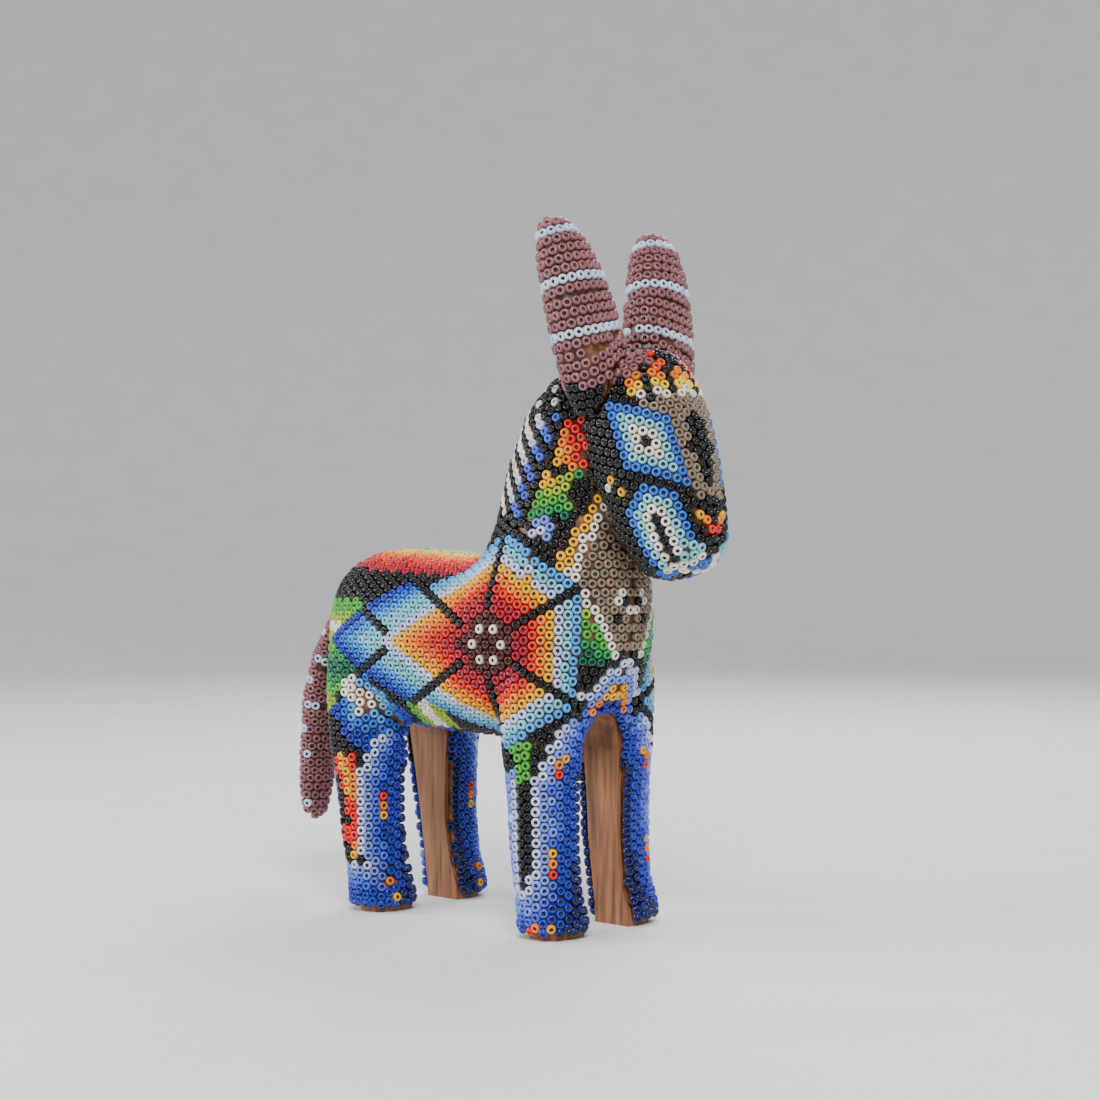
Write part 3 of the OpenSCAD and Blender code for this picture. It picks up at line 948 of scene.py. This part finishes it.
def paintBeads(beads):
    for b in beads:
        x, y, z = (c / mm for c in b["spot"])
        chart, u, v, layer = b["chart"], b["u"], b["v"], b["layer"]
        if chart == "tail":
            b["tone"] = tailTone(u, v)
        elif chart == "ear":
            b["tone"] = earTone(v) if aboveEarEdge(x, z) else "black"
        elif layer.endswith("ear_beads") or x > 29 and abs(y) > 5 and aboveEarEdge(x, z):
            b["tone"] = "plum" if aboveEarEdge(x, z) else "black"
        elif chart == "hollow":
            b["tone"] = "black"
        elif chart == "barrel":
            b["tone"] = barrelTone(u, v, x, y, z)
        elif chart == "head":
            b["tone"] = headTone(u, v, x, y, z)
        elif chart == "mane":
            b["tone"] = maneTone(u, v)
        elif chart == "chest" or "chest" in layer:
            b["tone"] = chestTone(x, y, z)
        elif "neck" in layer:
            b["tone"] = neckTone(x, y, z)
        elif "front_leg" in layer:
            b["tone"] = frontLegTone(x, y, z) if z < 44 else "black"
        elif chart in ("rearLeg", "rump"):
            b["tone"] = fieldTone((z - barrel["star"][1]) / bead["pitch"], x, y, z)
    laid = [b for b in beads if "tone" in b]
    tree = spotTree([b["spot"] for b in laid])
    for b in beads:
        if "tone" not in b:
            b["tone"] = laid[tree.find(b["spot"])[1]]["tone"]
    tree = spotTree([b["spot"] for b in beads])
    for motif in motifs:
        for n, tone in enumerate(motif["tones"]):
            x, y, z = Vector(motif["start"]) + Vector(motif["step"]) * n
            _, i, gap = tree.find(Vector((x, -y, z)) * mm)
            if gap < pitch:
                beads[i]["tone"] = tone


# One bead, its hole closed at the bottom by a floor that later takes a near-black painted shade, turned by
# spinning its outline
beadOutline = [(0, 0.2), (0.43, 0.2), (0.44, 0.62), (0.64, 0.75), (0.93, 0.52), (1.05, 0), (0.85, -0.6),
               (0, -0.7)]


def makeBead():
    deselectAll()
    data = bpy.data.meshes.new("beadOutline")
    points = [(r * mm, 0, h * mm) for r, h in beadOutline]
    data.from_pydata(points, [(i, i + 1) for i in range(len(points) - 1)], [])
    outline = bpy.data.objects.new("beadPattern", data)
    bpy.context.scene.collection.objects.link(outline)
    selectOnly(outline)
    bpy.ops.object.mode_set(mode="EDIT")
    bpy.ops.mesh.select_all(action="SELECT")
    bpy.ops.mesh.spin(steps=bead["sides"], angle=math.tau, center=(0, 0, 0), axis=(0, 0, 1))
    bpy.ops.mesh.select_all(action="SELECT")
    bpy.ops.mesh.remove_doubles(threshold=0.01 * mm)
    bpy.ops.mesh.normals_make_consistent(inside=False)
    bpy.ops.object.mode_set(mode="OBJECT")
    return outline


# How much the beads differ from each other, how deep they sit, and how dark the painted shade inside their
# holes is
hand = {"tilt": 0.045, "size": 0.018, "tall": 0.05, "deep": 0.72, "uneven": 0.05, "shade": 0.07,
        "hole": 0.435, "holePaintedShade": 0.02, "seed": 100}


# Copies the bead to each place, with its own small turn, size and tone, as one mesh; the inside of each hole
# is darkened to near black as painted shade
def strewBeads(pattern, beads, name, seed):
    chance = random.Random(seed)
    points = np.array([v.co[:] for v in pattern.data.vertices])
    faces = [list(p.vertices) for p in pattern.data.polygons]
    # The bore and the floor of the hole are darkened to near black: painted shade standing in for the shadow
    # deep in the hole
    paintedShadeInHole = (np.hypot(points[:, 0], points[:, 1]) < hand["hole"] * mm) & (points[:, 2] > 0)
    shade = np.where(paintedShadeInHole, hand["holePaintedShade"], 1.0)
    allPoints, allFaces, allTones = [], [], []
    for b in beads:
        tilt = Vector([chance.gauss(0, hand["tilt"]) for _ in range(3)])
        axis = (b["normal"] + tilt).normalized()
        spin = Matrix.Rotation(chance.uniform(0, math.tau), 3, "Z")
        turn = axis.to_track_quat("Z", "Y").to_matrix() @ spin
        size = chance.gauss(1, hand["size"])
        tall = chance.gauss(1, hand["tall"])
        place = b["spot"] - b["normal"] * (hand["deep"] + chance.gauss(0, hand["uneven"])) * mm
        first = len(allPoints) * len(points)
        shape = points * np.array([size, size, tall])
        allPoints.append(shape @ np.array(turn).T + np.array(place))
        allFaces += [[first + i for i in f] for f in faces]
        tone = np.array(toneColor(b["tone"])) * (1 + chance.gauss(0, hand["shade"]))
        allTones.append(np.clip(np.outer(shade, tone), 0, 1))
    data = bpy.data.meshes.new(name)
    data.from_pydata(np.concatenate(allPoints).tolist(), [], allFaces)
    store = data.attributes.new("tone", "FLOAT_COLOR", "POINT")
    flat = np.ones((len(data.vertices), 4), np.float32)
    flat[:, :3] = np.concatenate(allTones)
    store.data.foreach_set("color", flat.ravel())
    data.shade_smooth()
    thing = bpy.data.objects.new(name, data)
    bpy.context.scene.collection.objects.link(thing)
    return thing


def finishPiece(thing, material, node, *more):
    thing.data.materials.clear()
    thing.data.materials.append(material)
    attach(thing, "root")
    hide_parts(node, *more)


def finishWood(name, material):
    frame["nodes"][name].data.materials.clear()
    frame["nodes"][name].data.materials.append(material)


def mirrored(b):
    twin = dict(b)
    twin["spot"] = Vector((b["spot"].x, -b["spot"].y, b["spot"].z))
    twin["normal"] = Vector((b["normal"].x, -b["normal"].y, b["normal"].z))
    return twin


addCamera()
addLamps()
addFloor()
layers = BeadLayers()
bodySkin = skinOver(bodyNodes, "bodySkin")
earSkin = skinOver(earNodes, "leftEarSkin")
tailSkin = skinOver(tailNodes, "tailSkin")
print("skins made:", len(bodySkin.data.vertices), len(earSkin.data.vertices), len(tailSkin.data.vertices))

bodyTree, tailTree = treeOf(bodySkin), treeOf(tailSkin)
rightEar = bpy.data.objects.new("rightEarSkin", earSkin.data.copy())
for vertex in rightEar.data.vertices:
    vertex.co.y = -vertex.co.y
rightEar.data.flip_normals()
bpy.context.scene.collection.objects.link(rightEar)
earTree = treeOf(rightEar)

drawArchLines(bodyTree)
bed = Bed(treeOf(frame["nodes"]["body_block"]))
bed.sources = [v.co.copy() for v in bodySkin.data.vertices]
layBody(bed, bodyTree)
for space in bead["refill"]:
    settle(bed.beads, True)
    bed.recount()
    fillGaps(bed, bodyTree, True, space)
    print("filled again:", len(bed.beads))
bed.wood = None
layRings(bed, earTree, "ear")
bed.sources = [v.co.copy() for v in rightEar.data.vertices]
fillGaps(bed, earTree, False, bead["fill"])
print("with the ear:", len(bed.beads))
settle(bed.beads, True)
bed.recount()
closeJunction(bed)
paintBeads(bed.beads)

tailBed = Bed()
layRings(tailBed, tailTree, "tail")
tailBed.sources = [v.co.copy() for v in tailSkin.data.vertices]
fillGaps(tailBed, tailTree, False, bead["fill"])
settle(tailBed.beads, False)
paintBeads(tailBed.beads)
print("tail beads:", len(tailBed.beads))

everyBead = []
for b in bed.beads:
    b["layer"] = b["layer"].replace("left", "right")
    everyBead.append(b)
    if abs(b["spot"].y) > 0.4 * pitch:
        twin = mirrored(b)
        twin["layer"] = b["layer"].replace("right", "left")
        everyBead.append(twin)
everyBead += tailBed.beads

glassBeads = glassMaterial()
pattern = makeBead()
for n, node in enumerate(beadNodes):
    group = [b for b in everyBead if b["layer"] == node]
    piece = strewBeads(pattern, group, node.replace("_beads", "_seed_beads"), hand["seed"] + n)
    finishPiece(piece, glassBeads, node)
    print(node, len(group), "beads")
bpy.data.objects.remove(pattern)

# Wax: the skins drawn in until the beads stand proud of them
waxDepth = 1.02


def drawIn(thing, name):
    selectOnly(thing)
    shrink = thing.modifiers.new("shrink", "DISPLACE")
    shrink.mid_level = 0
    shrink.strength = -waxDepth * mm
    bpy.ops.object.modifier_apply(modifier="shrink")
    bpy.ops.object.shade_smooth()
    thing.name = name
    return thing


beeswax = waxMaterial()
finishPiece(drawIn(bodySkin, "body_wax_coat"), beeswax, "body_wax")
finishPiece(drawIn(rightEar, "right_ear_wax_coat"), beeswax, "right_ear_wax")
finishPiece(drawIn(earSkin, "left_ear_wax_coat"), beeswax, "left_ear_wax")
finishPiece(drawIn(tailSkin, "tail_wax_coat"), beeswax, "tail_wax")

carved = woodMaterial("carvedWood", wood["stretch"])
pegWood = woodMaterial("pegWood", wood["pegStretch"])
for name in ("body_block", "right_ear_blank", "left_ear_blank", "tail_blank"):
    finishWood(name, carved)
for name in ("right_ear_peg", "left_ear_peg", "tail_peg"):
    finishWood(name, pegWood)
